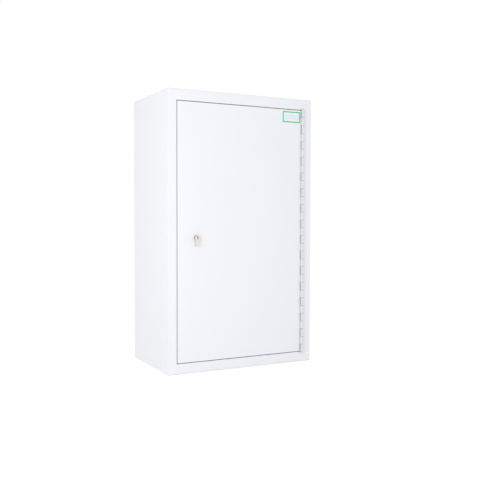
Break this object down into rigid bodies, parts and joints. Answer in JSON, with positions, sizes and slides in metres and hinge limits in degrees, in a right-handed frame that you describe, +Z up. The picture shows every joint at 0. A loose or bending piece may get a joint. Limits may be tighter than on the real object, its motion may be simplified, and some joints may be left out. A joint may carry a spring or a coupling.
{
  "type": "lockable medicine cabinet",
  "caption": "Wall-mounted sheet steel medicine cabinet with a flush hinged door, piano hinge, cylinder lock with locking rods, and adjustable shelves.",
  "frame": {"origin": "centre of the casing's flat underside", "axes": "+Z up, -Y out of the door's front, +Y into the wall, +X towards the hinge side"},
  "size_m": [0.5, 0.31, 0.85],
  "materials": {
    "white_powder_coat": "semi-gloss powder coat",
    "hinge_steel": "semi-gloss powder coat over steel",
    "zinc_plated_steel": "zinc plated",
    "nickel_plated_steel": "satin nickel",
    "nickel_plated_brass": "satin nickel",
    "brass": "turned brass",
    "black_rubber": "matt",
    "black_plastic": "moulded",
    "label_green": "printed, satin"
  },
  "bodies": {
    "casing": {"casing_left": "white_powder_coat", "casing_right": "white_powder_coat", "casing_top": "white_powder_coat", "casing_bottom": "white_powder_coat", "back_panel": "white_powder_coat", "wall_fixing_plates": "white_powder_coat", "stop_lock_side": "white_powder_coat", "stop_top": "white_powder_coat", "stop_bottom": "white_powder_coat", "strike_plate": "zinc_plated_steel", "door_buffers": "black_rubber", "upright_front_left": "white_powder_coat", "upright_rear_left": "white_powder_coat", "upright_front_right": "white_powder_coat", "upright_rear_right": "white_powder_coat", "shelf_lower": "white_powder_coat", "shelf_middle": "white_powder_coat", "shelf_upper": "white_powder_coat", "clips_lower": "zinc_plated_steel", "clips_middle": "zinc_plated_steel", "clips_upper": "zinc_plated_steel", "hinge_frame_leaf": "hinge_steel", "hinge_pin": "hinge_steel", "hinge_rivets_frame": "zinc_plated_steel"},
    "door": {"door_panel": "white_powder_coat", "door_stiffener": "white_powder_coat", "label": "label_green", "hinge_door_leaf": "hinge_steel", "hinge_rivets_door": "zinc_plated_steel", "lock_case": "zinc_plated_steel", "lock_cover": "zinc_plated_steel", "lock_cover_screws": "zinc_plated_steel", "lock_forend": "zinc_plated_steel", "forend_screws": "zinc_plated_steel", "lock_bracket": "white_powder_coat", "lock_bracket_screw": "zinc_plated_steel", "cylinder_body": "nickel_plated_brass", "cylinder_screw": "zinc_plated_steel", "rod_guides": "black_plastic", "rod_guide_screws": "zinc_plated_steel"},
    "plug": {"cylinder_plug": "brass", "cylinder_cam": "nickel_plated_steel"},
    "bolt": {"bolt_head": "nickel_plated_steel", "bolt_plate": "zinc_plated_steel"},
    "upper_rod": {"upper_rod": "zinc_plated_steel"},
    "lower_rod": {"lower_rod": "zinc_plated_steel"}
  },
  "joints": [
    {"name": "door_hinge", "type": "hinge", "parent": "casing", "child": "door", "pos_m": [0.216, -0.155, 0.425], "axis": [0, 0, 1], "range_deg": [0, 170]},
    {"name": "key_turn", "type": "hinge", "parent": "door", "child": "plug", "pos_m": [-0.157, -0.16, 0.408], "axis": [0, -1, 0], "range_deg": [0, 90]},
    {"name": "bolt_throw", "type": "slide", "parent": "door", "child": "bolt", "axis": [-1, 0, 0], "range_m": [0, 0.021]},
    {"name": "upper_rod_throw", "type": "slide", "parent": "door", "child": "upper_rod", "axis": [0, 0, 1], "range_m": [0, 0.021]},
    {"name": "lower_rod_throw", "type": "slide", "parent": "door", "child": "lower_rod", "axis": [0, 0, -1], "range_m": [0, 0.021]}
  ],
  "couplings": [
    {"joint": "key_turn", "follows": "bolt_throw", "rad_per_m": 74.799},
    {"joint": "upper_rod_throw", "follows": "bolt_throw", "ratio": 1},
    {"joint": "lower_rod_throw", "follows": "bolt_throw", "ratio": 1}
  ]
}
